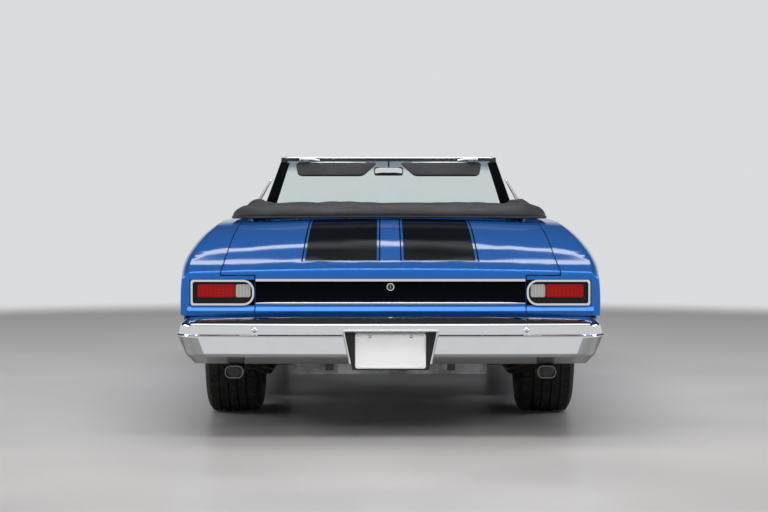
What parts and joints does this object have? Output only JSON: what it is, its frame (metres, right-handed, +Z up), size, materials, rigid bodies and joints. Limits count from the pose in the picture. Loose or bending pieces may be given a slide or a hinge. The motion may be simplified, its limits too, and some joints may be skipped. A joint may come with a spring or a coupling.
{
  "type": "two-door convertible muscle car",
  "caption": "Two-door convertible muscle car with opening doors, hood and deck lid, folded top under a boot cover, steered front wheels and blank plate.",
  "frame": {"origin": "on the ground under the middle of the car's box", "axes": "+X to the car's right, +Y forward, +Z up"},
  "size_m": [1.9066, 5.004, 1.255],
  "materials": {
    "body_paint": "deep blue gloss paint",
    "black_paint": "black paint on frame and running gear",
    "chrome": "polished chrome",
    "glass": "lightly tinted glass",
    "red_lens": "ribbed red lens",
    "clear_lens": "clear lens",
    "plate_white": "blank white plate",
    "grille_metal": "anodised bars",
    "vinyl": "black vinyl",
    "boot_vinyl": "black vinyl cover",
    "trim_black": "black padded trim",
    "mirror": "mirror",
    "engine_iron": "painted iron",
    "steel": "steel",
    "tank_steel": "plated steel",
    "tyre": "tyre rubber",
    "wheel_alloy": "machined wheel"
  },
  "bodies": {
    "car_body": {"fender_left": "body_paint", "fender_right": "body_paint", "inner_fenders": "black_paint", "cowl": "body_paint", "rockers": "body_paint", "quarter_left": "body_paint", "quarter_right": "body_paint", "tulip_panel": "body_paint", "tail_panel": "body_paint", "tail_lamp_bezels": "chrome", "tail_lamp_lenses": "red_lens", "reverse_lenses": "clear_lens", "rear_bumper": "chrome", "plate_pocket": "black_paint", "blank_plate": "plate_white", "nose_panel": "body_paint", "grille": "grille_metal", "headlamp_bezels": "chrome", "headlamps": "clear_lens", "front_bumper": "chrome", "windshield_glass": "glass", "windshield_frame": "trim_black", "sun_visors": "trim_black", "inside_mirror": "mirror", "floor_pan": "black_paint", "frame": "black_paint", "engine_block": "engine_iron", "driveline": "steel", "rear_axle": "black_paint", "front_arms": "black_paint", "fuel_tank": "tank_steel", "exhaust": "steel", "dashboard": "trim_black", "steering_column": "trim_black", "seat_cushions": "vinyl", "seat_backs": "vinyl", "seat_bases": "black_paint", "rear_cushion": "vinyl", "rear_back": "vinyl", "console": "trim_black", "boot_cover": "boot_vinyl"},
    "hood": {"hood": "body_paint"},
    "deck_lid": {"deck_lid": "body_paint"},
    "door_left": {"door_left": "body_paint", "vent_window_left": "glass"},
    "door_right": {"door_right": "body_paint", "vent_window_right": "glass"},
    "steering_wheel": {"steering_wheel": "trim_black"},
    "knuckle_left": {"knuckle_left": "steel"},
    "knuckle_right": {"knuckle_right": "steel"},
    "wheel_front_left": {"tyre_front_left": "tyre", "rim_front_left": "wheel_alloy"},
    "wheel_front_right": {"tyre_front_right": "tyre", "rim_front_right": "wheel_alloy"},
    "wheel_rear_left": {"tyre_rear_left": "tyre", "rim_rear_left": "wheel_alloy"},
    "wheel_rear_right": {"tyre_rear_right": "tyre", "rim_rear_right": "wheel_alloy"}
  },
  "joints": [
    {"name": "wheel_front_left_spin", "type": "hinge", "parent": "knuckle_left", "child": "wheel_front_left", "pos_m": [-0.74, 1.637, 0.335], "axis": [-1, 0, 0], "continuous": true},
    {"name": "wheel_front_right_spin", "type": "hinge", "parent": "knuckle_right", "child": "wheel_front_right", "pos_m": [0.74, 1.637, 0.335], "axis": [-1, 0, 0], "continuous": true},
    {"name": "wheel_rear_left_spin", "type": "hinge", "parent": "car_body", "child": "wheel_rear_left", "pos_m": [-0.745, -1.284, 0.35], "axis": [-1, 0, 0], "continuous": true},
    {"name": "wheel_rear_right_spin", "type": "hinge", "parent": "car_body", "child": "wheel_rear_right", "pos_m": [0.745, -1.284, 0.35], "axis": [-1, 0, 0], "continuous": true},
    {"name": "steer_left", "type": "hinge", "parent": "car_body", "child": "knuckle_left", "pos_m": [-0.7, 1.637, 0.3375], "axis": [0, 0, 1], "range_deg": [-30, 30]},
    {"name": "steer_right", "type": "hinge", "parent": "car_body", "child": "knuckle_right", "pos_m": [0.7, 1.637, 0.3375], "axis": [0, 0, 1], "range_deg": [-30, 30]},
    {"name": "steering_wheel_turn", "type": "hinge", "parent": "car_body", "child": "steering_wheel", "pos_m": [-0.365, 0.205, 0.79], "axis": [0, -0.9292, 0.3697], "range_deg": [-480, 480]},
    {"name": "door_right_open", "type": "hinge", "parent": "car_body", "child": "door_right", "pos_m": [0.905, 0.635, 0.58], "axis": [0, 0, 1], "range_deg": [0, 65]},
    {"name": "door_left_open", "type": "hinge", "parent": "car_body", "child": "door_left", "pos_m": [-0.905, 0.635, 0.58], "axis": [0, 0, -1], "range_deg": [0, 65]},
    {"name": "hood_open", "type": "hinge", "parent": "car_body", "child": "hood", "pos_m": [0, 0.877, 0.912], "axis": [1, 0, 0], "range_deg": [0, 50]},
    {"name": "deck_lid_open", "type": "hinge", "parent": "car_body", "child": "deck_lid", "pos_m": [0, -1.055, 0.835], "axis": [-1, 0, 0], "range_deg": [0, 62]}
  ],
  "couplings": [
    {"joint": "steer_right", "follows": "steer_left", "ratio": 1},
    {"joint": "steering_wheel_turn", "follows": "steer_left", "ratio": 16}
  ]
}
